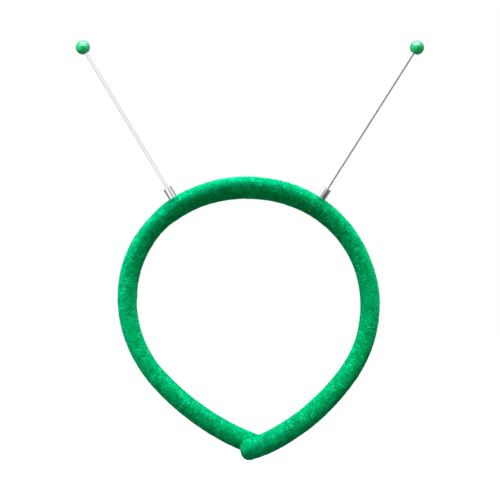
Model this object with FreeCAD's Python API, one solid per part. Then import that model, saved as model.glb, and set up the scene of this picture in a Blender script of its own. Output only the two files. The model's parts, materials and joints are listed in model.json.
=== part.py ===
import FreeCAD, Part
import math
import os

from FreeCAD import Rotation, Vector

# Antenna headband: a felt-covered, foam-padded spring-steel band whose rounded ends cross below,
# with two beads on close-wound springs that stand in ferrules on its shoulders.
# Units are millimetres. Seen from the front, +X is to the right, +Y points away and +Z is up.
# The origin is where the underside of the crown rests on the head.

# Band line: arcs of (radius, sweep in degrees) from the top of the crown down to each end.
RIGHT_ARCS = [(81.2, 15.3), (65.4, 110.1), (121.7, 33.1)]
LEFT_ARCS = [(72.7, 31.2), (59.4, 55.0), (66.9, 46.1), (145.1, 27.3)]
SIDE_HEADING = 90.0        # the band points straight down here, at its widest
LIMB_LEAN = 5.0            # each lower limb's plane turns this much, so that the ends pass each other

# Felt cover and foam, both round
COVER_RADIUS = 5.6
FELT_THICKNESS = 1.4
SOFT_GAP = 0.05
COVER_BORE = COVER_RADIUS - FELT_THICKNESS
FOAM_RADIUS = COVER_BORE - SOFT_GAP

# Seam along the inner side of the cover
THREAD_RADIUS = 0.35
SEAM_GROOVE_RADIUS = 0.4
SEAM_DEPTH = COVER_RADIUS - THREAD_RADIUS

# Spring-steel core strip and the vinyl sleeves on its ends
STRIP_WIDTH = 6.0
STRIP_THICKNESS = 0.6
STRIP_END_SETBACK = 6.0    # from the centre of the rounded end, along the band
SLEEVE_WALL = 0.5
SLEEVE_LENGTH = 16.0
SLEEVE_FIT = 0.02

# Flex stations: where the band's bending is gathered, and the room left for it.
# One is beside the crown and the other is at the widest point.
CROWN_FLEX_HEADING = 25.0
FLEX_ANGLE = 20.0
FLEX_SPARE_ANGLE = 1.0
FLEX_GAP = 0.1
FLEX_CUT_REACH = 9.0

# Ferrules, square to the band at these headings
RIGHT_FERRULE_HEADING = 32.4
LEFT_FERRULE_HEADING = 31.1
FERRULE_RADIUS = 2.7
FERRULE_TOP = 12.0         # above the band line
FERRULE_EDGE = 0.25
FERRULE_SEAT_GAP = 0.02
SPRING_BORE_DEPTH = 5.5
SCREW_BORE_DEPTH = 4.5
FERRULE_HOLE_FIT = 0.05

# Fixing screw and washer, under the strip
SCREW_RADIUS = 1.25
SCREW_FIT = 0.02
SCREW_LENGTH = 4.8
SCREW_HEAD_RADIUS = 2.0
SCREW_HEAD_HEIGHT = 1.0
SCREW_HEAD_EDGE = 0.3
SCREW_SLOT_WIDTH = 0.5
SCREW_SLOT_DEPTH = 0.5
WASHER_RADIUS = 2.2
WASHER_THICKNESS = 0.4
WASHER_DROP = 0.06         # clears the strip's curved underside
SCREW_HOLE_RADIUS = 1.35
SCREW_POCKET_RADIUS = 2.4
SCREW_POCKET_SPARE = 0.2

# Springs, each cut into lengths that hinge on one another
SPRING_RADIUS = 1.0
SPRING_BORE = 0.5
SPRING_FIT = 0.03
SPRING_ROOT_DEPTH = 5.2
SPRING_LENGTH_STEP = 22.0
SPRING_LENGTHS = 4
BEND_GAP = 0.6
RIGHT_BEAD_DISTANCE = 105.7   # bead centre above the band line
LEFT_BEAD_DISTANCE = 104.0

# Beads
BEAD_RADIUS = 4.0
BEAD_HOLE_DEPTH = 5.5
BEAD_SPRING_DEPTH = 5.2
COUNTERSINK_RADIUS = 1.7
COUNTERSINK_DEPTH = 0.7

ORIGIN = Vector(0, 0, 0)
X_AXIS = Vector(1, 0, 0)
Y_AXIS = Vector(0, 1, 0)
Z_AXIS = Vector(0, 0, 1)

SIDES = {
    "right": {
        "arcs": RIGHT_ARCS,
        "ferrule": RIGHT_FERRULE_HEADING,
        "bead": RIGHT_BEAD_DISTANCE,
    },
    "left": {
        "arcs": LEFT_ARCS,
        "ferrule": LEFT_FERRULE_HEADING,
        "bead": LEFT_BEAD_DISTANCE,
    },
}


# ---- The band line. Each side is worked out towards +X; the left one is then turned about Z.

def arc_list(arcs):
    """(centre, radius, start heading, end heading) of each arc. Heading 0 points along +X."""
    found = []
    heading = 0.0
    centre = Vector(0, 0, COVER_RADIUS - arcs[0][0])
    for number, (radius, sweep) in enumerate(arcs):
        if number:
            step = arcs[number - 1][0] - radius
            turn = math.radians(heading)
            centre = centre + Vector(step * math.sin(turn), 0, step * math.cos(turn))
        found.append((centre, radius, heading, heading + sweep))
        heading += sweep
    return found


def end_heading(arcs):
    return sum(sweep for _, sweep in arcs)


def line_point(arcs, heading):
    """The band line's point at a heading."""
    for centre, radius, start, end in arc_list(arcs):
        if start <= heading <= end + 1e-9:
            turn = math.radians(heading)
            return centre + Vector(radius * math.sin(turn), 0, radius * math.cos(turn))
    raise ValueError("heading is past the end of the band")


def heading_before_end(arcs, distance):
    """The heading at a distance back from the end of the band line."""
    heading = end_heading(arcs)
    for radius, sweep in reversed(arcs):
        length = math.radians(sweep) * radius
        if distance <= length:
            return heading - math.degrees(distance / radius)
        distance -= length
        heading -= sweep
    raise ValueError("distance is longer than the band")


def along_band(arcs, section, start, end):
    """Sweeps a section, drawn square to the band line, from one heading to another."""
    solid = None
    for centre, radius, arc_start, arc_end in arc_list(arcs):
        low = max(start, arc_start)
        high = min(end, arc_end)
        if high - low < 1e-6:
            continue
        face = section.copy()
        face.translate(centre + Vector(0, 0, radius))
        face.rotate(centre, Y_AXIS, low)
        length = face.revolve(centre, Y_AXIS, high - low)
        solid = length if solid is None else solid.fuse(length)
    return solid


def stand_on_band(shape, arcs, heading):
    """Moves a shape drawn on +Z to the band line, square to it."""
    placed = shape.copy()
    placed.rotate(ORIGIN, Y_AXIS, heading)
    placed.translate(line_point(arcs, heading))
    return placed


def lean_limb(shape, arcs):
    """Turns a lower limb forwards about the upright line at the band's widest point."""
    leaned = shape.copy()
    leaned.rotate(line_point(arcs, SIDE_HEADING), Z_AXIS, LIMB_LEAN)
    return leaned


def put_on_side(shape, side):
    """The left side is built like the right one, then turned half round the upright axis."""
    placed = shape.copy()
    if side == "left":
        placed.rotate(ORIGIN, Z_AXIS, 180)
    return placed


# ---- Sections, drawn in the YZ plane about the band line, +Z outwards

def disc(radius, height=0.0):
    circle = Part.makeCircle(radius, Vector(0, 0, height), X_AXIS)
    return Part.Face(Part.Wire(circle))


def rectangle(width, thickness):
    y = width / 2
    z = thickness / 2
    corners = [(-y, -z), (y, -z), (y, z), (-y, z), (-y, -z)]
    return Part.Face(Part.makePolygon([Vector(0, a, b) for a, b in corners]))


def cover_section():
    ring = disc(COVER_RADIUS).cut(disc(COVER_BORE))
    return ring.cut(disc(SEAM_GROOVE_RADIUS, -SEAM_DEPTH)).Faces[0]


def foam_section(slot_width, slot_thickness):
    return disc(FOAM_RADIUS).cut(rectangle(slot_width, slot_thickness)).Faces[0]


# ---- Room for the flex

def flex_cut(arcs, heading):
    """A thin gap on the band's inner side that opens into a wedge on its outer side."""
    far = FLEX_CUT_REACH
    open_angle = math.radians(FLEX_ANGLE + FLEX_SPARE_ANGLE)
    wide = FLEX_GAP + far * math.tan(open_angle)
    outline = [(0, -far), (FLEX_GAP, -far), (FLEX_GAP, 0), (wide, far), (0, far), (0, -far)]
    face = Part.Face(Part.makePolygon([Vector(x, -far, z) for x, z in outline]))
    return stand_on_band(face.extrude(Vector(0, 2 * far, 0)), arcs, heading)


def round_end(arcs, radius):
    """A ball of the given radius at the end of the band line, cut square at its middle."""
    heading = end_heading(arcs)
    half = Part.makeSphere(radius, ORIGIN, X_AXIS, 0, 90, 360)
    return stand_on_band(half, arcs, heading)


# ---- Pieces of the band

def band_nodes(arcs, start, end, has_tip):
    """Cover, foam, strip and thread of one stretch of the band."""
    slot_width = STRIP_WIDTH + 2 * SOFT_GAP
    slot_thickness = STRIP_THICKNESS + 2 * SOFT_GAP
    strip_end = heading_before_end(arcs, STRIP_END_SETBACK) if has_tip else end
    pieces = {
        "cover": along_band(arcs, cover_section(), start, end),
        "foam": along_band(arcs, foam_section(slot_width, slot_thickness), start, end),
        "core_strip": along_band(arcs, rectangle(STRIP_WIDTH, STRIP_THICKNESS), start, strip_end),
        "seam_thread": along_band(arcs, disc(THREAD_RADIUS, -SEAM_DEPTH), start, end),
    }
    if has_tip:
        shell = round_end(arcs, COVER_RADIUS).cut(round_end(arcs, COVER_BORE))
        pieces["cover"] = pieces["cover"].fuse(shell)
        pieces["foam"] = tip_foam(arcs, start)
        pieces["tip_sleeve"] = tip_sleeve(arcs)
    return pieces


def sleeve_headings(arcs):
    """Where the sleeve's mouth, the strip's end and the sleeve's closed end are."""
    mouth = heading_before_end(arcs, STRIP_END_SETBACK + SLEEVE_LENGTH - SLEEVE_WALL)
    strip_end = heading_before_end(arcs, STRIP_END_SETBACK - SLEEVE_FIT)
    closed_end = heading_before_end(arcs, STRIP_END_SETBACK - SLEEVE_WALL)
    return mouth, strip_end, closed_end


def tip_foam(arcs, start):
    """The lower limb's foam: solid all the way, then hollowed for the strip and its sleeve."""
    end = end_heading(arcs)
    mouth, _, closed_end = sleeve_headings(arcs)
    foam = along_band(arcs, disc(FOAM_RADIUS), start, end)
    foam = foam.fuse(round_end(arcs, FOAM_RADIUS))
    spare = 2 * SOFT_GAP
    slot = rectangle(STRIP_WIDTH + spare, STRIP_THICKNESS + spare)
    grown = 2 * SLEEVE_WALL + spare
    pocket = rectangle(STRIP_WIDTH + grown, STRIP_THICKNESS + grown)
    spare_turn = math.degrees(spare / arcs[-1][0])
    foam = foam.cut(along_band(arcs, slot, start, mouth))
    return foam.cut(along_band(arcs, pocket, mouth - spare_turn, closed_end + spare_turn))


def tip_sleeve(arcs):
    """A soft sleeve over the strip's end, closed at the tip."""
    mouth, strip_end, closed_end = sleeve_headings(arcs)
    outer = rectangle(STRIP_WIDTH + 2 * SLEEVE_WALL, STRIP_THICKNESS + 2 * SLEEVE_WALL)
    inner = rectangle(STRIP_WIDTH + 2 * SLEEVE_FIT, STRIP_THICKNESS + 2 * SLEEVE_FIT)
    body = along_band(arcs, outer, mouth, closed_end)
    return body.cut(along_band(arcs, inner, mouth, strip_end))


# ---- Ferrule and its fixing, drawn on +Z from the band line

def cylinder(radius, bottom, top):
    return Part.makeCylinder(radius, top - bottom, Vector(0, 0, bottom), Z_AXIS)


def ferrule():
    bottom = STRIP_THICKNESS / 2 + FERRULE_SEAT_GAP
    body = cylinder(FERRULE_RADIUS, bottom, FERRULE_TOP)
    rim = [e for e in body.Edges if e.Closed and e.BoundBox.ZMin > FERRULE_TOP - 1e-6]
    body = body.makeFillet(FERRULE_EDGE, rim)
    spring_bore = cylinder(SPRING_RADIUS + SPRING_FIT, FERRULE_TOP - SPRING_BORE_DEPTH, FERRULE_TOP)
    screw_bore = cylinder(SCREW_RADIUS, bottom, bottom + SCREW_BORE_DEPTH)
    return body.cut(spring_bore).cut(screw_bore)


def washer():
    top = -STRIP_THICKNESS / 2 - WASHER_DROP
    ring = cylinder(WASHER_RADIUS, top - WASHER_THICKNESS, top)
    return ring.cut(cylinder(SCREW_HOLE_RADIUS, top - WASHER_THICKNESS, top))


def screw():
    seat = -STRIP_THICKNESS / 2 - WASHER_DROP - WASHER_THICKNESS - SCREW_FIT
    bottom = seat - SCREW_HEAD_HEIGHT
    head = cylinder(SCREW_HEAD_RADIUS, bottom, seat)
    rim = [e for e in head.Edges if e.Closed and e.BoundBox.ZMax < bottom + 1e-6]
    head = head.makeFillet(SCREW_HEAD_EDGE, rim)
    corner = Vector(-SCREW_HEAD_RADIUS, -SCREW_SLOT_WIDTH / 2, bottom)
    slot = Part.makeBox(2 * SCREW_HEAD_RADIUS, SCREW_SLOT_WIDTH, SCREW_SLOT_DEPTH, corner)
    shank = cylinder(SCREW_RADIUS - SCREW_FIT, seat, seat + SCREW_LENGTH)
    return head.cut(slot).fuse(shank)


def open_for_ferrule(pieces, arcs, heading):
    """Cuts the cover, the foam and the strip round the ferrule and its screw."""
    hole = cylinder(FERRULE_RADIUS + FERRULE_HOLE_FIT, 0, FERRULE_TOP)
    pocket_floor = -(STRIP_THICKNESS / 2 + WASHER_DROP + WASHER_THICKNESS)
    pocket_floor -= SCREW_HEAD_HEIGHT + SCREW_POCKET_SPARE
    pocket = cylinder(SCREW_POCKET_RADIUS, pocket_floor, 0)
    screw_hole = cylinder(SCREW_HOLE_RADIUS, -STRIP_THICKNESS, STRIP_THICKNESS)
    cuts = {"cover": [hole], "foam": [hole, pocket], "core_strip": [screw_hole]}
    for name, tools in cuts.items():
        for tool in tools:
            pieces[name] = pieces[name].cut(stand_on_band(tool, arcs, heading))


# ---- Antenna, drawn on +Z from the band line

def spring_tube(bottom, top):
    return cylinder(SPRING_RADIUS, bottom, top).cut(cylinder(SPRING_BORE, bottom, top))


def spring_nodes(bead_distance):
    """The part held in the ferrule, then the free lengths up to the bead."""
    tubes = {"spring_root": spring_tube(FERRULE_TOP - SPRING_ROOT_DEPTH, FERRULE_TOP)}
    spring_end = bead_distance - BEAD_RADIUS + BEAD_SPRING_DEPTH
    for number in range(SPRING_LENGTHS):
        bottom = FERRULE_TOP + number * SPRING_LENGTH_STEP + BEND_GAP / 2
        top = FERRULE_TOP + (number + 1) * SPRING_LENGTH_STEP - BEND_GAP / 2
        if number == 0:
            bottom += BEND_GAP / 2
        if number == SPRING_LENGTHS - 1:
            top = spring_end
        tubes["spring_length_%d" % (number + 1)] = spring_tube(bottom, top)
    return tubes


def bead(bead_distance):
    mouth = bead_distance - BEAD_RADIUS
    ball = Part.makeSphere(BEAD_RADIUS, Vector(0, 0, bead_distance))
    hole = cylinder(SPRING_RADIUS + SPRING_FIT, mouth - 1, mouth + BEAD_HOLE_DEPTH)
    wide = COUNTERSINK_RADIUS
    narrow = SPRING_RADIUS + SPRING_FIT
    sink = Part.makeCone(wide, narrow, COUNTERSINK_DEPTH, Vector(0, 0, mouth), Z_AXIS)
    return ball.cut(hole).cut(sink)


# ---- The assembly

def crown_nodes():
    """The stretch over the head, one solid of each kind across both sides."""
    halves = []
    for side, spec in SIDES.items():
        arcs = spec["arcs"]
        half = band_nodes(arcs, 0.0, CROWN_FLEX_HEADING, has_tip=False)
        halves.append({name: put_on_side(shape, side) for name, shape in half.items()})
    return {"crown_" + name: halves[0][name].fuse(halves[1][name]) for name in halves[0]}


def upper_arm_nodes(spec):
    arcs = spec["arcs"]
    pieces = band_nodes(arcs, CROWN_FLEX_HEADING, SIDE_HEADING, has_tip=False)
    open_for_ferrule(pieces, arcs, spec["ferrule"])
    room = flex_cut(arcs, CROWN_FLEX_HEADING)
    return {"upper_" + name: shape.cut(room) for name, shape in pieces.items()}


def lower_arm_nodes(spec):
    arcs = spec["arcs"]
    pieces = band_nodes(arcs, SIDE_HEADING, end_heading(arcs), has_tip=True)
    room = flex_cut(arcs, SIDE_HEADING)
    nodes = {}
    for name, shape in pieces.items():
        label = name if name == "tip_sleeve" else "lower_" + name
        nodes[label] = lean_limb(shape, arcs).cut(room)
    return nodes


def antenna_nodes(spec):
    pieces = spring_nodes(spec["bead"])
    pieces["bead"] = bead(spec["bead"])
    pieces["ferrule"] = ferrule()
    pieces["ferrule_screw"] = screw()
    pieces["ferrule_washer"] = washer()
    return {name: stand_on_band(s, spec["arcs"], spec["ferrule"]) for name, s in pieces.items()}


def all_nodes():
    nodes = crown_nodes()
    for side, spec in SIDES.items():
        for group in (upper_arm_nodes(spec), lower_arm_nodes(spec), antenna_nodes(spec)):
            for name, shape in group.items():
                nodes[side + "_" + name] = put_on_side(shape, side)
    return nodes


def single_solid(name, shape):
    """Every node is exactly one closed solid."""
    clean = shape.removeSplitter()
    if len(clean.Solids) != 1:
        raise ValueError("%s has %d solids" % (name, len(clean.Solids)))
    solid = clean.Solids[0]
    if not solid.isValid():
        raise ValueError("%s is not a valid solid" % name)
    return solid


os.makedirs("parts", exist_ok=True)
for node, node_shape in all_nodes().items():
    single_solid(node, node_shape).exportStep("parts/%s.step" % node)
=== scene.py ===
import json
import math

import bpy
import numpy as np
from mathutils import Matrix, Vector, noise


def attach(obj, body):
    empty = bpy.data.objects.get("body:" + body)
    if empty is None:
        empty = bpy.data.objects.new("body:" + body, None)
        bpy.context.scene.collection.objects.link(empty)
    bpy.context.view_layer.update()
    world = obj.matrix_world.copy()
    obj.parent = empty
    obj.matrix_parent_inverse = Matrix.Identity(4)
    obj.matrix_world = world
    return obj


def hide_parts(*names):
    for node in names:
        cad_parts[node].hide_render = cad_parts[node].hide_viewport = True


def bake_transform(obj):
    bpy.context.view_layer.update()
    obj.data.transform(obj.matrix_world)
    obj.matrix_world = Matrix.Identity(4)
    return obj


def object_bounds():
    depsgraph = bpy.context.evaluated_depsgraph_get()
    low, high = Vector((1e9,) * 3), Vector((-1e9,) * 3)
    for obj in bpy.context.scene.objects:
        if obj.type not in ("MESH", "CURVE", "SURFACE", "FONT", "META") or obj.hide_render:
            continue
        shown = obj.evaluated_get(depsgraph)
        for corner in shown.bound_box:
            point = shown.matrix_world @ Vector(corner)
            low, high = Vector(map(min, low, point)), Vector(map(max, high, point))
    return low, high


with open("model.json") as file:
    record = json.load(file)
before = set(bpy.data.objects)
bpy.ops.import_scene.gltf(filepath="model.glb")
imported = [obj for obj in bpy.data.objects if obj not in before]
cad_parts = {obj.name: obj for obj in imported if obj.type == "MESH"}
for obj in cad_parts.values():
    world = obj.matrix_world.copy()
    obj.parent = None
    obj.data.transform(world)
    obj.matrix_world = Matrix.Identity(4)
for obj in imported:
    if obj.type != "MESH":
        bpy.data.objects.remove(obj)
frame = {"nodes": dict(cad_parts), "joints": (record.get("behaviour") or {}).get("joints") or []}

# A felt-covered antenna headband.
# Lengths are in metres and stated angles in degrees, unless a comment says otherwise.
# Seen from the front, +X is to the right, +Y points away and +Z is up.

CAD_BOX = [list(corner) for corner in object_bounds()]
JOINTS = {joint["name"]: joint for joint in frame["joints"]}
MM = 0.001
Y_AXIS = np.array((0.0, 1.0, 0.0))

# The band line: arcs of (radius, sweep) from the top of the crown down to each end, as in the CAD.
# A heading is how far the line has turned since the crown's top.
ARCS = {
    "right": [(0.0812, 15.3), (0.0654, 110.1), (0.1217, 33.1)],
    "left": [(0.0727, 31.2), (0.0594, 55.0), (0.0669, 46.1), (0.1451, 27.3)],
}
COVER_RADIUS = 0.0056      # of the CAD's cover, which rests on the origin at the crown
LIMB_LEAN = 5.0            # the lower limbs' planes turn this far from the widest point on
SIDE_HEADING = 90.0
CROWN_FLEX_HEADING = 25.0
SPLIT_HEADING = 55.0       # the covers are cut here, on the stiff middle of each upper arm
FERRULE_HEADING = {"right": 32.4, "left": 31.1}

# The felt's half width in millimetres: (heading, half width) down each side
HALF_WIDTH = {
    "right": [(0, 6.23), (20, 6.13), (36, 5.83), (52, 5.48), (68, 5.15), (86, 5.43),
              (106, 5.26), (120, 5.33), (134, 5.73), (150, 5.98)],
    "left": [(0, 6.23), (10, 6.18), (22, 5.88), (34, 5.88), (48, 5.28), (64, 5.53),
             (88, 5.45), (106, 5.05), (126, 5.05), (140, 5.58), (152, 5.83)],
}
WIDTH_STEP = 0.5           # the half widths are smoothed at headings this far apart,
WIDTH_WINDOW = 25          # over this many of them,
WIDTH_LAST = 170           # up to a heading past both ends
HALF_DEPTH = 0.0055
SOFT_EDGES = 0.08          # the section is a little three-sided: its edges stand out by this share
SOFT_EDGE_ANGLE = 80.0     # one soft edge runs along the front, just outside the middle
FELT_BORE = 0.0042         # radius of the hollow for the foam
BORE_END_STEP = 15         # between the rings of the hollow's domed ends
END_LENGTH = {"right": 0.0062, "left": 0.0058}   # how far the rounded ends stand past the band line
END_BLUNTNESS = 2.3        # 2 is a half ball, more is squarer
END_ROWS = 14              # steps from the band line's end to the very end
END_SLANT = 5.0            # the front end is cut askew, so that its outer side reaches further
END_SLANT_LENGTH = 0.012
END_LIFT = {"right": 0.0007, "left": 0.0004}   # the felt's ends sit this much closer to the inner side
END_LIFT_LENGTH = {"right": 0.016, "left": 0.022}
RING_STEP = 0.00045
RING_POINTS = 84
INNER_STEP = 8             # the hidden inner wall has one ring for this many outer ones
LUMPS = [(0.0095, 0.00009), (0.0034, 0.00010), (0.0014, 0.00006)]   # (size, height) of the felt's unevenness
COLLAR_REACH = 0.0012      # how far from the ferrules the felt is drawn up
COLLAR_HEIGHT = 0.0012     # and by how much at most
LAY_TWIST = 110.0          # turn of the fibres' lay round the band, in radians for each metre
CROWN_BEND = (0.010, 0.004)   # distances before and after the crown flex joint, handed on to blend_round with each felt piece
SIDE_BEND = (0.018, 0.018)

# The seam and its stitches
SEAM_WIDTH = 0.0007
SEAM_DEPTH = 0.0005
STITCH_PITCH = 0.0032
STITCH_SHARE = 0.72        # how much of the pitch a stitch spans
STITCH_PROUD = 0.00005     # its middle above the bottom of the seam's groove
STITCH_DIVE = 0.0009       # its ends below its middle
STITCH_SWAY = 0.00035      # its ends beside the seam
STITCH_RINGS = 7
STITCH_POINTS = 8
THREAD_RADIUS = 0.00022

# Surface hairs of the felt: (name, hairs per metre of band, length, half thickness, lift)
HAIRS = [
    ("nap", 26000, 0.0013, 0.000022, 0.00022),
    ("lint", 1500, 0.0013, 0.000055, 0.00016),
]
HAIR_SEED = {"left": 10, "right": 21}
HAIR_SEED_STEP = 100       # between the kinds of hair
HAIR_ROOT_DEPTH = 0.00012
HAIR_TAPER = (1.0, 0.9, 0.7)   # share of the thickness at a hair's three rings; it ends in a point

# Ferrules, springs and beads, on each antenna's axis above the band line
FERRULE_RADIUS = 0.00285
FERRULE_BOTTOM = 0.00032
FERRULE_TOP = 0.0122
FERRULE_EDGE = 0.00025     # radius of its rounded top edge
FERRULE_SINK = 0.00025     # bevel at the mouth of its bore
FERRULE_BORE_DEPTH = 0.0055
SPRING_BORE = 0.00103      # radius of the holes that take the spring, in the ferrule and in the bead
SPRING_RADIUS = 0.001
WIRE_RADIUS = 0.000172
WIRE_SQUARENESS = 12.0     # flat-sided wire, so the spring is nearly as smooth as a rod
COIL_PITCH = 0.00035
COIL_POINTS = 24           # rings in each turn of wire
WIRE_POINTS = 8
SPRING_ROOT_DEPTH = 0.0052
SPRING_IN_BEAD = 0.0052
SPRING_BEND_REACH = 0.0105  # a distance nearly half the way from each joint to its neighbours, handed on to blend_round
BEAD_RADIUS = 0.004
BEAD_DISTANCE = {"right": 0.1057, "left": 0.1040}
BEAD_HOLE_DEPTH = 0.0055
BEAD_SINK_RADIUS = 0.0017
BEAD_SINK_DEPTH = 0.0007
BEAD_RINGS = 40
EDGE_POINTS = 5
LATHE_POINTS = 96


# ---- The band line

def arc_table(arcs):
    """Each arc's centre (x, z), radius, first heading in radians and distance along the line.
    The line's whole length comes second."""
    centre = np.array((0.0, COVER_RADIUS - arcs[0][0]))
    heading = 0.0
    distance = 0.0
    table = []
    for number, (radius, sweep) in enumerate(arcs):
        if number:
            step = arcs[number - 1][0] - radius
            centre = centre + step * np.array((math.sin(heading), math.cos(heading)))
        table.append((centre, radius, heading, distance))
        heading += math.radians(sweep)
        distance += radius * math.radians(sweep)
    return table, distance


TABLE = {}
LENGTH = {}
for line_side, line_arcs in ARCS.items():
    TABLE[line_side], LENGTH[line_side] = arc_table(line_arcs)


def distance_at(side, heading_degrees):
    """Distance along the line from the crown's top to a heading."""
    heading = math.radians(heading_degrees)
    for _, radius, first, distance in reversed(TABLE[side]):
        if heading >= first - 1e-9:
            return distance + radius * (heading - first)
    raise ValueError("the heading is before the crown")


def side_point(table):
    """The line's widest point, where it heads straight down."""
    for centre, radius, first, _ in reversed(table):
        if math.radians(SIDE_HEADING) >= first:
            return np.array((centre[0] + radius, 0.0, centre[1]))
    raise ValueError("the line never heads straight down")


def turn_about_z(vectors, degrees):
    cosine, sine = math.cos(math.radians(degrees)), math.sin(math.radians(degrees))
    return vectors @ np.array(((cosine, sine, 0.0), (-sine, cosine, 0.0), (0.0, 0.0, 1.0)))


def side_line(side, distance):
    """Points, tangents, outward directions and headings in radians of one side's line.
    They are worked out towards +X and then turned to their side. Past its end, the line runs on straight."""
    table = TABLE[side]
    distance = np.asarray(distance, float)
    index = np.searchsorted([row[3] for row in table], distance, side="right") - 1
    index = np.clip(index, 0, len(table) - 1)
    centre = np.array([row[0] for row in table])[index]
    radius = np.array([row[1] for row in table])[index]
    first = np.array([row[2] for row in table])[index]
    start = np.array([row[3] for row in table])[index]
    inside = np.minimum(distance, LENGTH[side])
    heading = first + (inside - start) / radius
    sine, cosine = np.sin(heading), np.cos(heading)
    zero = np.zeros_like(sine)
    point = np.stack((centre[:, 0] + radius * sine, zero, centre[:, 1] + radius * cosine), 1)
    tangent = np.stack((cosine, zero, -sine), 1)
    outward = np.stack((sine, zero, cosine), 1)
    point = point + tangent * (distance - inside)[:, None]
    below = (heading > math.radians(SIDE_HEADING))[:, None]
    widest = side_point(table)
    leaning = turn_about_z(np.array((point - widest, tangent, outward)), LIMB_LEAN)
    point = np.where(below, leaning[0] + widest, point)
    tangent = np.where(below, leaning[1], tangent)
    outward = np.where(below, leaning[2], outward)
    if side == "left":
        point, tangent, outward = (turn_about_z(part, 180.0) for part in (point, tangent, outward))
    return point, tangent, outward, heading


def band_line(station):
    """The whole line: points, tangents, outward and across directions, and headings in radians.
    A station is the distance from the crown's top, negative on the left and positive on the right."""
    station = np.atleast_1d(np.asarray(station, float))
    point, tangent, outward, heading = side_line("right", np.maximum(station, 0.0))
    left = side_line("left", np.maximum(-station, 0.0))
    on_left = (station < 0)[:, None]
    point = np.where(on_left, left[0], point)
    tangent = np.where(on_left, -left[1], tangent)
    outward = np.where(on_left, left[2], outward)
    heading = np.where(station < 0, left[3], heading)
    across = np.cross(tangent, outward)
    return point, tangent, outward, across, heading


def station_of(side, heading):
    return distance_at(side, heading) * (1 if side == "right" else -1)


def half_width(station, heading):
    """The felt's half width, smoothed between the stated ones."""
    degrees = np.degrees(heading)
    fine = np.arange(0, WIDTH_LAST + WIDTH_STEP, WIDTH_STEP)
    window = np.hanning(WIDTH_WINDOW) / np.hanning(WIDTH_WINDOW).sum()
    values = {}
    for side, stated in HALF_WIDTH.items():
        at, size = zip(*stated)
        padded = np.pad(np.interp(fine, at, size), WIDTH_WINDOW // 2, mode="reflect")
        values[side] = np.interp(degrees, fine, np.convolve(padded, window, mode="valid")) * MM
    return np.where(station < 0, values["left"], values["right"])


# ---- Mesh helpers

def mesh_object(name, points, faces, smooth=True):
    mesh = bpy.data.meshes.new(name)
    mesh.from_pydata(np.asarray(points, float).tolist(), [], faces)
    mesh.polygons.foreach_set("use_smooth", [smooth] * len(mesh.polygons))
    mesh.update()
    made = bpy.data.objects.new(name, mesh)
    bpy.context.scene.collection.objects.link(made)
    return made


def ring_faces(rings, closed=False, start=0):
    """Faces over a chain of rings, whose points are numbered on from a start.
    A ring is a row of points, and a ring of one point is a pole. An open chain is closed flat over its
    end rings. Two poles that follow each other stay apart."""
    starts = start + np.cumsum([0] + [len(ring) for ring in rings])
    columns = max(len(ring) for ring in rings)
    pairs = list(zip(range(len(rings) - 1), range(1, len(rings))))
    if closed:
        pairs.append((len(rings) - 1, 0))
    faces = []
    for first, second in pairs:
        low, high = starts[first], starts[second]
        low_pole, high_pole = len(rings[first]) == 1, len(rings[second]) == 1
        if low_pole and high_pole:
            continue
        for column in range(columns):
            after = (column + 1) % columns
            if low_pole:
                faces.append((low, high + after, high + column))
            elif high_pole:
                faces.append((low + column, low + after, high))
            else:
                faces.append((low + column, low + after, high + after, high + column))
    if not closed and len(rings[0]) > 1:
        faces.append(tuple(starts[0] + column for column in reversed(range(columns))))
    if not closed and len(rings[-1]) > 1:
        faces.append(tuple(starts[-2] + column for column in range(columns)))
    return faces


def ring_mesh(name, rings, sharp_angle, closed=False):
    """Skins a chain of rings. Edges bent more than the sharp angle stay crisp."""
    made = mesh_object(name, np.concatenate(rings), ring_faces(rings, closed))
    made.data.set_sharp_from_angle(angle=math.radians(sharp_angle))
    return made


def unit(vectors):
    """Vectors scaled to a length of 1."""
    return vectors / np.linalg.norm(vectors, axis=-1, keepdims=True)


def ring_angles(count):
    """Evenly spaced angles round a ring, in radians, as one row."""
    return np.linspace(0, 2 * math.pi, count, endpoint=False)[None, :]


def spokes(count, outward, across):
    """Unit vectors round a line: one row for each point of the line."""
    angle = ring_angles(count)[:, :, None]
    return np.cos(angle) * outward[:, None] + np.sin(angle) * across[:, None]


# ---- Felt cover

def band_stations():
    """Stations of every outer ring, and how much each is narrowed where the ends round off."""
    left, right = LENGTH["left"], LENGTH["right"]
    rows = int(round((left + right) / RING_STEP))
    body = np.linspace(-left, right, rows + 1)
    for cut in (station_of("left", SPLIT_HEADING), station_of("right", SPLIT_HEADING), 0.0):
        body[np.argmin(abs(body - cut))] = cut
    power = 2.0 / END_BLUNTNESS
    angle = np.radians(np.linspace(0, 90, END_ROWS + 1)[1:-1])
    reach = np.sin(angle) ** power
    narrow = np.cos(angle) ** power
    past_left = -left - END_LENGTH["left"] * reach[::-1]
    station = np.concatenate((past_left, body, right + END_LENGTH["right"] * reach))
    scale = np.concatenate((narrow[::-1], np.ones(len(body)), narrow))
    return station, scale


def end_share(station, side, length):
    """Rises from 0 to 1 over the last stretch before a side's end."""
    sign = -1.0 if side == "left" else 1.0
    return np.clip((sign * station - LENGTH[side]) / length + 1.0, 0, 1)


def end_slant(station, outward_offset):
    """How far a point is carried along the band by the askew front end."""
    share = end_share(station, "right", END_SLANT_LENGTH)
    weight = share * share * (3 - 2 * share)
    return weight[:, None] * outward_offset * math.tan(math.radians(END_SLANT))


def end_lift(station):
    """How far each ring moves towards the band's inner side near the ends."""
    shares = {side: end_share(station, side, END_LIFT_LENGTH[side])[:, None] for side in ARCS}
    return sum(END_LIFT[side] * share ** 2 for side, share in shares.items())


def unevenness(point):
    """Height of the felt's lumps at a point of its surface."""
    height = 0.0
    for size, amount in LUMPS:
        height += amount * noise.noise(Vector(point) / size)
    return height


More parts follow.
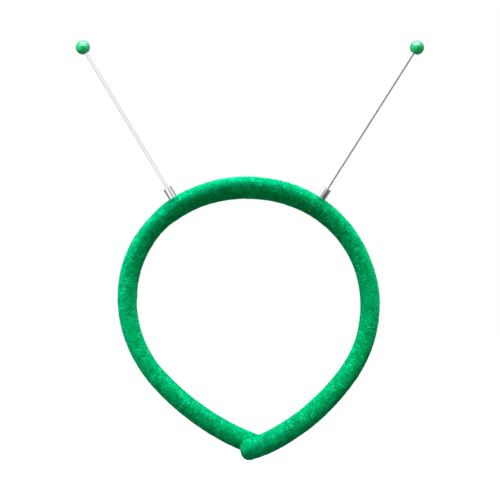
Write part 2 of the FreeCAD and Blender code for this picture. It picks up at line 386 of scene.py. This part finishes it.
def seam_dip(angle, scale):
    """The seam's groove along the band's inner side; it fades out on the rounded ends."""
    off = np.abs(np.angle(np.exp(1j * (angle - math.pi))))
    return SEAM_DEPTH * np.exp(-((off * COVER_RADIUS / SEAM_WIDTH) ** 2)) * np.clip(scale * 2 - 1, 0, 1)


def ferrule_collar(points):
    """How much the felt is drawn up round each ferrule, to meet the metal at one height all round."""
    lift = np.zeros(len(points))
    for side in ARCS:
        base, axis = antenna_axis(side)
        station = np.array([station_of(side, FERRULE_HEADING[side])])
        top = half_width(station, np.radians([FERRULE_HEADING[side]]))[0]
        offset = points - base
        along = offset @ axis
        radial = np.linalg.norm(offset - along[:, None] * axis, axis=1)
        outside = np.clip(radial - FERRULE_RADIUS, 0.0, None)
        share = np.exp(-(outside / COLLAR_REACH) ** 2) * (along > 0)
        lift = np.maximum(lift, share * np.clip(top - along, 0.0, COLLAR_HEIGHT))
    return lift


def felt_grid():
    """Outer surface as an array of rings of points, with each ring's station."""
    station, scale = band_stations()
    centre, tangent, outward, across, heading = band_line(station)
    narrow = scale[:, None]
    angle = ring_angles(RING_POINTS)
    wide = half_width(station, heading)[:, None]
    radius = np.hypot(wide * np.cos(angle), HALF_DEPTH * np.sin(angle)) * narrow
    radius = radius * (1 + SOFT_EDGES * np.cos(3 * (angle - math.radians(SOFT_EDGE_ANGLE))))
    radius = radius - seam_dip(angle, narrow)
    around = spokes(RING_POINTS, outward, across)
    shift = (SOFT_EDGES / 2 * wide * narrow - end_lift(station)) * outward
    base = (centre + shift)[:, None] + around * radius[:, :, None]
    slant = end_slant(station, np.cos(angle) * radius)
    base = base + tangent[:, None] * slant[:, :, None]
    flat = base.reshape(-1, 3)
    height = np.array([unevenness(point) for point in flat]) + ferrule_collar(flat)
    height = height.reshape(base.shape[:2]) * np.clip(narrow * 3, 0, 1)
    return base + around * height[:, :, None], station


def bore_rings(low, high):
    """The felt's hidden inner wall between two stations, with a domed bottom where the band ends."""
    left, right = -LENGTH["left"], LENGTH["right"]
    count = int((min(high, right) - max(low, left)) / (RING_STEP * INNER_STEP)) + 2
    station = np.linspace(max(low, left), min(high, right), count)
    scale = np.ones(count)
    turn = np.radians(np.arange(BORE_END_STEP, 90, BORE_END_STEP))
    if low < left:
        station = np.concatenate((left - FELT_BORE * np.sin(turn)[::-1], station))
        scale = np.concatenate((np.cos(turn)[::-1], scale))
    if high > right:
        station = np.concatenate((station, right + FELT_BORE * np.sin(turn)))
        scale = np.concatenate((scale, np.cos(turn)))
    centre, _, outward, across, _ = band_line(station)
    wall = centre[:, None] + spokes(RING_POINTS, outward, across) * (FELT_BORE * scale)[:, None, None]
    rings = list(wall)
    if low < left:
        rings.insert(0, band_line(left - FELT_BORE)[0])
    if high > right:
        rings.append(band_line(right + FELT_BORE)[0])
    return rings


def felt_shell(name, grid, station, low, high):
    """A closed felt shell between two stations, hollow for the foam. It is rounded where the band ends."""
    inside = (station >= low - 1e-9) & (station <= high + 1e-9)
    outer = list(grid[inside])
    if low < -LENGTH["left"]:
        outer.insert(0, band_line(low)[0])
    if high > LENGTH["right"]:
        outer.append(band_line(high)[0])
    made = ring_mesh(name, outer + bore_rings(low, high)[::-1], sharp_angle=60, closed=True)
    first = 1 if low < -LENGTH["left"] else 0
    add_lay(made, station[inside], first)
    return made


def add_lay(made, station, first):
    """Gives each outer point its place on the band as if it were straight: the fibres are laid along these.
    The lay winds round the band, so that the fibres lie askew."""
    angle = ring_angles(RING_POINTS) + LAY_TWIST * station[:, None]
    along = np.broadcast_to(station[:, None], angle.shape)
    lay = np.stack((along, HALF_DEPTH * np.cos(angle), HALF_DEPTH * np.sin(angle)), 2)
    values = np.zeros((len(made.data.vertices), 3))
    values[first:first + angle.size] = lay.reshape(-1, 3)
    attribute = made.data.attributes.new("lay", "FLOAT_VECTOR", "POINT")
    attribute.data.foreach_set("vector", values.ravel())


def hair_roots(random, grid, rows, count):
    """Random points of the felt on the given rings, with the band's direction and the normal at each."""
    row = random.integers(rows[0] + 1, rows[-1] - 1, count)
    column = random.integers(0, RING_POINTS, count)
    after = (column + 1) % RING_POINTS
    share = random.random((2, count, 1))
    near = grid[row, column] * (1 - share[0]) + grid[row, after] * share[0]
    far = grid[row + 1, column] * (1 - share[0]) + grid[row + 1, after] * share[0]
    root = near * (1 - share[1]) + far * share[1]
    along = grid[row + 1, column] - grid[row - 1, column]
    around = grid[row, after] - grid[row, column]
    return root, unit(along), unit(np.cross(around, along))


def fibres(name, grid, rows, count, shape, seed):
    """Short curved hairs rooted in the felt on the given rings, each a closed three-sided taper."""
    length, width, lift = shape
    random = np.random.default_rng(seed)
    root, along, normal = hair_roots(random, grid, rows, count)
    turn = random.uniform(0, 2 * math.pi, count)[:, None]
    lay = along * np.cos(turn) + np.cross(normal, along) * np.sin(turn)
    bend = np.cross(normal, lay) * random.uniform(-0.5, 0.5, count)[:, None]
    size = length * random.uniform(0.5, 1.4, count)[:, None]
    rise = lift * random.uniform(0.3, 1.6, count)[:, None]
    # From the root to the tip: height above the felt, share of the length and share of the bend
    steps = [
        (-HAIR_ROOT_DEPTH, 0.0, 0.0),
        (rise * 0.8, 0.35, 0.05),
        (rise, 0.7, 0.3),
        (rise * 0.5, 1.0, 0.8),
    ]
    spine = [root + normal * up + size * (lay * out + bend * sway) for up, out, sway in steps]
    corners = []
    for point, thickness in zip(spine, HAIR_TAPER):
        for spin in ring_angles(3)[0]:
            spoke = normal * math.cos(spin) + np.cross(lay, normal) * math.sin(spin)
            corners.append(point + width * thickness * spoke)
    corners.append(spine[-1])
    points = np.stack(corners, 1).reshape(-1, 3)
    one_hair = ring_faces([range(3)] * len(HAIR_TAPER) + [range(1)])
    faces = []
    for start in range(0, len(points), len(corners)):
        faces += [tuple(start + corner for corner in face) for face in one_hair]
    return mesh_object(name, points, faces)


def stitches(name, low, high):
    """Running stitches that close the seam on the band's inner side.
    They are short threads that dive in at both ends."""
    count = max(1, int(abs(high - low) / STITCH_PITCH))
    middle = np.linspace(low, high, 2 * count + 1)[1::2]
    along = np.linspace(-1, 1, STITCH_RINGS)
    points = []
    faces = []
    for number, station in enumerate(middle):
        at = station + along / 2 * STITCH_PITCH * STITCH_SHARE
        centre, _, outward, across, heading = band_line(at)
        wide = half_width(at, heading)[:, None]
        dive = along[:, None] ** 4 * STITCH_DIVE
        sway = along[:, None] * across * STITCH_SWAY * (-1) ** number
        spine = centre - outward * (wide - SEAM_DEPTH + STITCH_PROUD - dive) + sway
        rings = spine[:, None] + spokes(STITCH_POINTS, outward, across) * THREAD_RADIUS
        faces += ring_faces(rings, start=number * STITCH_RINGS * STITCH_POINTS)
        points.append(rings.reshape(-1, 3))
    return mesh_object(name, np.concatenate(points), faces)


def antenna_axis(side):
    """The antenna's foot on the band line, and its direction."""
    point, _, outward, _, _ = band_line(station_of(side, FERRULE_HEADING[side]))
    return point[0], outward[0]


# ---- Lathe work

def lathe(name, profile, base, axis):
    """Turns a (radius, height) outline round an axis. The outline starts and ends on the axis."""
    across = unit(np.cross(axis, Y_AXIS))
    around = spokes(LATHE_POINTS, across[None], np.cross(axis, across)[None])[0]
    rings = []
    for radius, height in profile:
        foot = base + axis * height
        rings.append(foot[None] if radius < 1e-9 else foot + around * radius)
    return ring_mesh(name, rings, sharp_angle=35)


def rounded_edge(radius, height, size):
    """Points of an outer edge rounded about (radius, height), from its side to its top."""
    turn = np.radians(np.linspace(0, 90, EDGE_POINTS))
    return [(radius + size * math.cos(angle), height + size * math.sin(angle)) for angle in turn]


def ferrule_profile():
    bore_bottom = FERRULE_TOP - FERRULE_BORE_DEPTH
    outline = [(0.0, FERRULE_BOTTOM), (FERRULE_RADIUS, FERRULE_BOTTOM)]
    outline += rounded_edge(FERRULE_RADIUS - FERRULE_EDGE, FERRULE_TOP - FERRULE_EDGE, FERRULE_EDGE)
    outline += [(SPRING_BORE + FERRULE_SINK, FERRULE_TOP), (SPRING_BORE, FERRULE_TOP - FERRULE_SINK)]
    outline += [(SPRING_BORE, bore_bottom), (0.0, bore_bottom)]
    return outline


def bead_profile(distance):
    """A ball with a countersunk hole, from the bottom of the hole to the ball's far side."""
    mouth = distance - BEAD_RADIUS
    hole_bottom = mouth + BEAD_HOLE_DEPTH
    sink_edge = math.asin(BEAD_SINK_RADIUS / BEAD_RADIUS)
    turn = np.linspace(sink_edge, math.pi, BEAD_RINGS)
    hole = [(0.0, hole_bottom), (SPRING_BORE, hole_bottom), (SPRING_BORE, mouth + BEAD_SINK_DEPTH)]
    ball = [(BEAD_RADIUS * math.sin(angle), distance - BEAD_RADIUS * math.cos(angle)) for angle in turn]
    ball[-1] = (0.0, distance + BEAD_RADIUS)
    return hole + ball


# ---- Springs

def squared_off(values):
    """Pushes a circle's sines or cosines out, which makes it a square with rounded corners."""
    return np.sign(values) * abs(values) ** (2 / WIRE_SQUARENESS)


def coil(name, base, axis, low, high):
    """A close-wound length of spring between two heights on the axis, with its wire cut square."""
    across = unit(np.cross(axis, Y_AXIS))
    beyond = np.cross(axis, across)
    turns = (high - low) / COIL_PITCH
    count = int(round(turns * COIL_POINTS)) + 1
    height = np.linspace(low, high, count)
    turn = height / COIL_PITCH * 2 * math.pi
    spoke = np.cos(turn)[:, None] * across + np.sin(turn)[:, None] * beyond
    centre = base + axis * height[:, None] + spoke * (SPRING_RADIUS - WIRE_RADIUS)
    along = unit(np.gradient(centre, axis=0))
    up = np.cross(along, spoke)
    corner = ring_angles(WIRE_POINTS)[:, :, None] + math.pi / WIRE_POINTS
    sideways = spoke[:, None] * squared_off(np.cos(corner)) * WIRE_RADIUS
    upwards = up[:, None] * squared_off(np.sin(corner)) * WIRE_RADIUS
    return ring_mesh(name, list(centre[:, None] + sideways + upwards), sharp_angle=18)


# ---- Build

def blend_round(piece, joint, direction, before, after):
    """Bakes a piece's placement into its mesh; it does not bend it over the joint."""
    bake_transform(piece)


def build_felt(looks):
    """Each side's felt in an upper and a lower piece, with hairs and stitches."""
    grid, station = felt_grid()
    for side, sign in (("left", -1), ("right", 1)):
        split = station_of(side, SPLIT_HEADING)
        line_end = sign * LENGTH[side]
        felt_end = sign * (LENGTH[side] + END_LENGTH[side])
        # part: (where the felt starts, where it ends, where the seam ends, joint, the joint's heading, bend)
        stretches = {
            "upper": (0.0, split, split, "crown_flex", CROWN_FLEX_HEADING, CROWN_BEND),
            "lower": (split, felt_end, line_end, "side_flex", SIDE_HEADING, SIDE_BEND),
        }
        for part, (near, far, seam_end, joint, heading, bend) in stretches.items():
            low, high = min(near, far), max(near, far)
            rows = np.flatnonzero((station >= low) & (station <= high))
            label = "%s_%s" % (side, part)
            pieces = {"felt": felt_shell("felt_" + label, grid, station, low, high)}
            for number, (kind, density, *shape) in enumerate(HAIRS):
                count = int(density * (high - low))
                seed = HAIR_SEED_STEP * number + HAIR_SEED[side]
                pieces[kind] = fibres("%s_%s" % (kind, label), grid, rows, count, shape, seed)
            pieces["thread"] = stitches("stitches_" + label, near, seam_end)
            direction = sign * band_line(station_of(side, heading))[1][0]
            for kind, piece in pieces.items():
                piece.data.materials.append(looks[kind])
                blend_round(piece, "%s_%s" % (side, joint), direction, *bend)
            replaced = [label] + (["crown"] if part == "upper" else [])
            for length in replaced:
                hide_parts(length + "_cover")
                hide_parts(length + "_seam_thread")


def build_antenna(side, chrome, steel, pearl):
    """One ferrule with its bead and spring."""
    base, axis = antenna_axis(side)
    ferrule = lathe(side + "_ferrule_turned", ferrule_profile(), base, axis)
    ferrule.data.materials.append(chrome)
    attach(ferrule, side + "_upper_arm")
    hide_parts(side + "_ferrule")
    bead = lathe(side + "_bead_moulded", bead_profile(BEAD_DISTANCE[side]), base, axis)
    bead.data.materials.append(pearl)
    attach(bead, side + "_spring_4")
    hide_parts(side + "_bead")
    build_spring(side, steel, base, axis)


def build_spring(side, steel, base, axis):
    """The spring in four lengths, one for each of its joints."""
    joints = ["%s_antenna_%s" % (side, motion) for motion in ("sway", "nod", "sway_upper", "nod_upper")]
    pivots = [float((np.array(JOINTS[joint]["pos_m"]) - base) @ axis) for joint in joints]
    halfway = [(low + high) / 2 for low, high in zip(pivots, pivots[1:])]
    spring_end = BEAD_DISTANCE[side] - BEAD_RADIUS + SPRING_IN_BEAD
    cuts = [FERRULE_TOP - SPRING_ROOT_DEPTH] + halfway + [spring_end]
    for number, joint in enumerate(joints):
        piece = coil("%s_coil_%d" % (side, number + 1), base, axis, cuts[number], cuts[number + 1])
        piece.data.materials.append(steel)
        before = pivots[0] - FERRULE_TOP if number == 0 else SPRING_BEND_REACH
        blend_round(piece, joint, axis, before, SPRING_BEND_REACH)
        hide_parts("%s_spring_length_%d" % (side, number + 1))
        if number == 0:
            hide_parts(side + "_spring_root")


# ---- Materials

def fill(tree, node, inputs):
    """Puts plain values or other nodes' sockets on a node's inputs."""
    for key, value in inputs.items():
        if isinstance(value, bpy.types.NodeSocket):
            tree.links.new(value, node.inputs[key])
        else:
            node.inputs[key].default_value = value


def add(tree, kind, inputs=None, **settings):
    """A new shader node, with its settings and inputs."""
    made = tree.nodes.new("ShaderNode" + kind)
    for key, value in settings.items():
        setattr(made, key, value)
    fill(tree, made, inputs or {})
    return made


def new_material(name):
    """A material with its node tree and shader, and the place that its patterns are laid on."""
    made = bpy.data.materials.new(name)
    made.use_nodes = True
    tree = made.node_tree
    place = add(tree, "TexCoord").outputs["Object"]
    return made, tree, tree.nodes["Principled BSDF"], place


def mix_colour(tree, factor, first, second):
    return add(tree, "Mix", {0: factor, 6: first, 7: second}, data_type="RGBA").outputs[2]


def times(tree, first, second):
    return add(tree, "Math", {0: first, 1: second}, operation="MULTIPLY").outputs[0]


def noise_value(tree, coordinates, size, detail, roughness=0.5, distortion=0.0):
    made = add(tree, "TexNoise", {
        "Vector": coordinates, "Scale": 1.0 / size, "Detail": detail,
        "Roughness": roughness, "Distortion": distortion,
    })
    return made.outputs["Fac"]


def spread(tree, value, low, high):
    """Stretches a value so that low becomes 0 and high becomes 1."""
    made = add(tree, "MapRange", {"Value": value, "From Min": low, "From Max": high})
    return made.outputs["Result"]


def bump(tree, height, strength, distance):
    made = add(tree, "Bump", {"Height": height, "Strength": strength, "Distance": distance})
    return made.outputs["Normal"]


FELT_DEEP = (0.0001, 0.160, 0.033, 1)
FELT_MIDDLE = (0.0002, 0.335, 0.094, 1)
FELT_LIGHT = (0.0006, 0.490, 0.170, 1)
FELT_FIBRE = (0.0100, 0.740, 0.330, 1)
MOTTLE_SIZE = 0.0036
GRAIN_SIZE = 0.0013
STRAND_CELL = (0.0008, 0.0030, 0.0030)   # the strands' pattern along the band, and both ways across it
STRAND_WANDER = (0.0030, 0.0012)         # size and reach of the strands' bends
PATCH_SIZE = 0.0045                      # of the patches where strands show


def bent_place(tree, place, size, amount):
    """Coordinates pushed about by noise, so that patterns on them wander."""
    wander = add(tree, "TexNoise", {"Vector": place, "Scale": 1 / size, "Detail": 2.0})
    offset = add(tree, "VectorMath", {0: wander.outputs["Color"], 1: (0.5, 0.5, 0.5)}, operation="SUBTRACT")
    far = add(tree, "VectorMath", {0: offset.outputs[0], 3: amount}, operation="SCALE")
    return add(tree, "VectorMath", {0: place, 1: far.outputs[0]}, operation="ADD").outputs[0]


def strands(tree, place):
    """Fibres that lie askew on the felt, in patches: 1 where a fibre shows and 0 elsewhere."""
    lay = add(tree, "Attribute", attribute_name="lay").outputs["Vector"]
    bent = bent_place(tree, lay, *STRAND_WANDER)
    per_metre = tuple(1 / size for size in STRAND_CELL)
    drawn = add(tree, "VectorMath", {0: bent, 1: per_metre}, operation="MULTIPLY").outputs[0]
    streak = add(tree, "TexNoise", {"Vector": drawn, "Scale": 1.0, "Detail": 2.0, "Roughness": 0.6})
    line = spread(tree, streak.outputs["Fac"], 0.50, 0.64)
    presence = spread(tree, noise_value(tree, place, PATCH_SIZE, 1.0), 0.40, 0.62)
    return times(tree, line, presence)


def felt_material():
    """Pressed fleece: broad mottling, a fine grain and pale strands that lie across it."""
    made, tree, shader, place = new_material("felt_fleece")
    mottle = spread(tree, noise_value(tree, place, MOTTLE_SIZE, 3.0, 0.6), 0.36, 0.62)
    grain = spread(tree, noise_value(tree, place, GRAIN_SIZE, 3.0, 0.7, 0.8), 0.42, 0.66)
    strand = strands(tree, place)
    colour = mix_colour(tree, mottle, FELT_DEEP, FELT_MIDDLE)
    colour = mix_colour(tree, times(tree, grain, 0.7), colour, FELT_LIGHT)
    colour = mix_colour(tree, times(tree, strand, 0.7), colour, FELT_FIBRE)
    height = add(tree, "Math", {0: grain, 1: strand}, operation="ADD").outputs[0]
    fill(tree, shader, {
        "Base Color": colour, "Roughness": 1.0, "Specular IOR Level": 0.0,
        "Sheen Weight": 0.3, "Sheen Roughness": 0.6, "Sheen Tint": (0.0, 1.0, 0.45, 1),
        "Normal": bump(tree, height, 0.8, 0.00022),
    })
    return made


def hair_material(name, first, second):
    """Hairs of slightly different greens."""
    made, tree, shader, place = new_material(name)
    tone = spread(tree, noise_value(tree, place, 0.0012, 1.0), 0.35, 0.65)
    colour = mix_colour(tree, tone, first, second)
    fill(tree, shader, {"Base Color": colour, "Roughness": 0.9, "Specular IOR Level": 0.05})
    return made


def metal_material(name, tone, roughness, grain_size):
    """Bright metal with fine tool marks."""
    made, tree, shader, place = new_material(name)
    marks = noise_value(tree, place, grain_size, 3.0)
    rough = add(tree, "MapRange", {"Value": marks, "To Min": roughness * 0.6, "To Max": roughness * 1.4})
    fill(tree, shader, {
        "Base Color": tone, "Metallic": 1.0, "Roughness": rough.outputs["Result"],
        "Normal": bump(tree, marks, 0.1, 0.00001),
    })
    return made


def bead_material():
    """Pearly moulded plastic under a soft gloss, with painted shade that deepens its colour towards its
    outline.
    """
    made, tree, shader, place = new_material("bead_pearl")
    swirl = spread(tree, noise_value(tree, place, 0.006, 2.0, 0.5, 1.0), 0.3, 0.7)
    colour = mix_colour(tree, swirl, (0.0, 0.90, 0.29, 1), (0.0, 0.98, 0.34, 1))
    # painted shade: the colour darkens towards the bead's outline, the more its surface turns away from the
    # camera
    outline_shade = spread(tree, add(tree, "LayerWeight", {"Blend": 0.5}).outputs["Facing"], 0.05, 0.60)
    colour = mix_colour(tree, outline_shade, colour, (0.03, 0.27, 0.10, 1))
    fill(tree, shader, {"Base Color": colour, "Roughness": 0.43, "Specular IOR Level": 0.25})
    return made


def soft_material(name, first, second, size, roughness):
    """Foam, vinyl or thread, mottled between two colours at the given size."""
    made, tree, shader, place = new_material(name)
    cells = noise_value(tree, place, size, 4.0)
    colour = mix_colour(tree, cells, first, second)
    normal = bump(tree, cells, 0.4, size / 4)
    fill(tree, shader, {"Base Color": colour, "Roughness": roughness, "Normal": normal})
    return made


def finish_hidden_nodes():
    """Materials of the CAD pieces that stay: the core, its sleeves, the foam and the fixings."""
    core = metal_material("core_strip_steel", (0.55, 0.56, 0.58, 1), 0.35, 0.0004)
    fixing = metal_material("fixing_steel", (0.62, 0.62, 0.64, 1), 0.25, 0.0003)
    foam = soft_material("foam_cells", (0.62, 0.61, 0.55, 1), (0.8, 0.79, 0.72, 1), 0.0006, 0.9)
    vinyl = soft_material("sleeve_vinyl", (0.7, 0.7, 0.66, 1), (0.82, 0.82, 0.78, 1), 0.002, 0.45)
    looks = {"core_strip": core, "screw": fixing, "washer": fixing, "foam": foam, "sleeve": vinyl}
    for name, node in frame["nodes"].items():
        for word, look in looks.items():
            if word in name:
                node.data.materials.clear()
                node.data.materials.append(look)


# ---- Stage

FRAME_WIDTH = 0.280        # what the picture spans at the object
CAMERA_DISTANCE = 2.4
CAMERA_TARGET = (0.00232, 0.0, -0.02924)
SENSOR = 36.0              # millimetres
FLOOR_DROP = 0.055         # below the object
FLOOR_REACH = 6.0
FLOOR_GLOW = 0.94
FILL_STRENGTH = 0.254
FILL_TONE = (1.0, 1.0, 0.75, 1)
TENT_STRENGTH = 1.45
TENT_TONE = (0.97, 0.98, 1.0, 1)
DARK_GAPS = [
    # (direction, half angle, how much of the light stays)
    ((0.422, -0.866, -0.268), 24, 0.02),
    ((0.800, -0.300, -0.510), 40, 0.15),
    ((0.000, -1.000, 0.000), 22, 0.30),
    ((-0.472, -0.829, 0.300), 20, 0.25),
    ((0.800, -0.280, 0.490), 40, 0.40),
    ((-0.850, 0.200, -0.500), 40, 0.25),
    ((0.000, 1.000, 0.000), 45, 0.30),
    ((0.000, 0.000, -1.000), 50, 0.10),
    ((0.000, 0.000, 1.000), 45, 0.30),
    ((1.000, 0.000, 0.000), 30, 0.15),
    ((-1.000, 0.000, 0.000), 30, 0.15),
]
GAP_CORE = 0.45            # share of a gap's half angle that is fully dark
LAMP_SIZE = (0.25, 0.25)
LAMP_SOFTNESS = 0.05
COOL = (1.0, 1.0, 1.33)


def aim(made, place, target):
    """Puts a camera or lamp in the scene, turned to its target."""
    bpy.context.scene.collection.objects.link(made)
    made.location = place
    made.rotation_mode = "QUATERNION"
    made.rotation_quaternion = (Vector(target) - Vector(place)).to_track_quat("-Z", "Y")


def make_camera():
    data = bpy.data.cameras.new("camera")
    data.sensor_width = SENSOR
    data.lens = SENSOR * CAMERA_DISTANCE / FRAME_WIDTH
    made = bpy.data.objects.new("camera", data)
    aim(made, Vector(CAMERA_TARGET) + Vector((0, -CAMERA_DISTANCE, 0)), CAMERA_TARGET)
    bpy.context.scene.camera = made


def tent_light(tree):
    """How bright the tent round the object is in each direction."""
    place = add(tree, "TexCoord").outputs["Generated"]
    light = TENT_STRENGTH
    for direction, half_angle, stays in DARK_GAPS:
        facing = add(tree, "VectorMath", {0: place, 1: direction}, operation="DOT_PRODUCT").outputs["Value"]
        edge = math.cos(math.radians(half_angle))
        core = math.cos(math.radians(half_angle * GAP_CORE))
        span = {"Value": facing, "From Min": edge, "From Max": core, "To Min": 1.0, "To Max": stays}
        gap = add(tree, "MapRange", span, interpolation_type="SMOOTHSTEP")
        light = times(tree, light, gap.outputs["Result"])
    return light


def make_world():
    """White for the camera and a dim even fill for matt surfaces.
    Polished ones see a pale tent with dark gaps, which gives the metal its stripes."""
    world = bpy.data.worlds.new("studio")
    world.cycles.sampling_method = "NONE"
    world.use_nodes = True
    bpy.context.scene.world = world
    tree = world.node_tree
    tree.nodes.clear()
    ray = add(tree, "LightPath").outputs
    strength = add(tree, "Mix", {0: ray["Is Glossy Ray"], 2: FILL_STRENGTH, 3: tent_light(tree)}).outputs[0]
    tone = mix_colour(tree, ray["Is Glossy Ray"], FILL_TONE, TENT_TONE)
    light = add(tree, "Background", {"Color": tone, "Strength": strength})
    white = add(tree, "Background", {"Color": (1, 1, 1, 1), "Strength": 1.0})
    mix = add(tree, "MixShader", {0: ray["Is Camera Ray"], 1: light.outputs[0], 2: white.outputs[0]})
    add(tree, "OutputWorld", {"Surface": mix.outputs[0]})


def lamp(name, kind, place, target, power, colour):
    """A lamp that polished surfaces do not reflect."""
    data = bpy.data.lights.new(name, kind)
    data.energy = power
    data.color = colour
    made = bpy.data.objects.new(name, data)
    aim(made, place, target)
    made.visible_glossy = False
    return made


def area_light(name, place, target, power, colour, size=LAMP_SIZE):
    made = lamp(name, "AREA", place, target, power, colour)
    made.data.shape = "RECTANGLE"
    made.data.size, made.data.size_y = size
    made.visible_camera = False
    return made


def spot_light(name, place, target, reach, power, colour):
    """A wide soft-edged lamp that lights a disc of the given radius round its target."""
    made = lamp(name, "SPOT", place, target, power, colour)
    distance = (Vector(place) - Vector(target)).length
    made.data.spot_size = 2 * math.atan(reach / distance)
    made.data.spot_blend = 1.0
    made.data.shadow_soft_size = LAMP_SOFTNESS


def make_lights():
    """Soft cool lamps overhead, and lamps that fill the limbs from the front."""
    middle = (0, 0, -0.03)
    area_light("top_back", (0, 0.30, 0.70), middle, 7.5, COOL)
    area_light("top_right", (0.38, 0.10, 0.62), middle, 4.8, COOL)
    area_light("high_left", (-0.55, -0.05, 0.45), middle, 5.0, COOL)
    spot_light("front_left", (-0.05, -0.9, -0.05), (-0.060, 0, -0.090), 0.06, 21.9, (1, 1, 0.93))
    spot_light("front_right", (0.05, -0.9, -0.05), (0.065, 0, -0.080), 0.07, 3.6, (1, 1, 0.80))
    spot_light("front_middle", (0.0, -0.9, 0.1), (0.0, 0, -0.130), 0.08, 5.4, COOL)
    spot_light("above_right", (0.1, -0.5, 0.6), (0.060, 0, -0.080), 0.08, 30.6, (1, 1, 0.94))
    spot_light("above_left", (-0.1, -0.5, 0.6), (-0.060, 0, -0.080), 0.08, 21.6, (1, 1, 1.08))


def make_softbox():
    """A wide sheet of light overhead that only the beads' gloss shows."""
    box = area_light("softbox", (0, -0.25, 0.72), (0, 0, 0), 70.0, (1, 1, 1), size=(0.9, 0.6))
    box.visible_diffuse = False
    box.visible_glossy = True
    lit = bpy.data.collections.new("lit_by_softbox")
    for side in ARCS:
        lit.objects.link(bpy.data.objects[side + "_bead_moulded"])
    box.light_linking.receiver_collection = lit


def make_floor():
    """A pale floor, which throws the same light on the object as the fill does."""
    height = CAD_BOX[0][2] - FLOOR_DROP
    corners = [(FLOOR_REACH * x, FLOOR_REACH * y, height) for x, y in ((-1, -1), (1, -1), (1, 1), (-1, 1))]
    floor = mesh_object("floor", corners, [(0, 1, 2, 3)], smooth=False)
    made = bpy.data.materials.new("pale_floor")
    made.use_nodes = True
    tree = made.node_tree
    tree.nodes.clear()
    ray = add(tree, "LightPath").outputs
    glow = add(tree, "Emission", {"Color": (1, 1, 1, 1), "Strength": FLOOR_GLOW})
    matte = add(tree, "BsdfDiffuse", {"Color": (0.8, 0.8, 0.8, 1)})
    seen = add(tree, "AddShader", {0: glow.outputs[0], 1: matte.outputs[0]})
    dim = add(tree, "Emission", {"Color": FILL_TONE, "Strength": FILL_STRENGTH})
    mix = add(tree, "MixShader", {0: ray["Is Camera Ray"], 1: dim.outputs[0], 2: seen.outputs[0]})
    add(tree, "OutputMaterial", {"Surface": mix.outputs[0]})
    floor.data.materials.append(made)
    floor.visible_glossy = False


FELT = felt_material()
CHROME = metal_material("ferrule_chrome", (0.68, 0.69, 0.705, 1), 0.05, 0.0005)
SPRING_STEEL = metal_material("spring_wire", (0.96, 0.95, 0.95, 1), 0.26, 0.0003)
PEARL = bead_material()
NAP = hair_material("felt_nap", (0.001, 0.30, 0.10, 1), (0.006, 0.55, 0.24, 1))
LINT = hair_material("felt_lint", (0.02, 0.62, 0.32, 1), (0.25, 0.85, 0.55, 1))
THREAD = soft_material("seam_stitches", (0.0, 0.12, 0.04, 1), (0.0, 0.26, 0.09, 1), 0.0003, 0.7)

build_felt({"felt": FELT, "nap": NAP, "lint": LINT, "thread": THREAD})
for antenna_side in ARCS:
    build_antenna(antenna_side, CHROME, SPRING_STEEL, PEARL)
finish_hidden_nodes()
make_camera()
make_world()
make_lights()
make_softbox()
make_floor()
bpy.context.scene.view_settings.view_transform = "Standard"
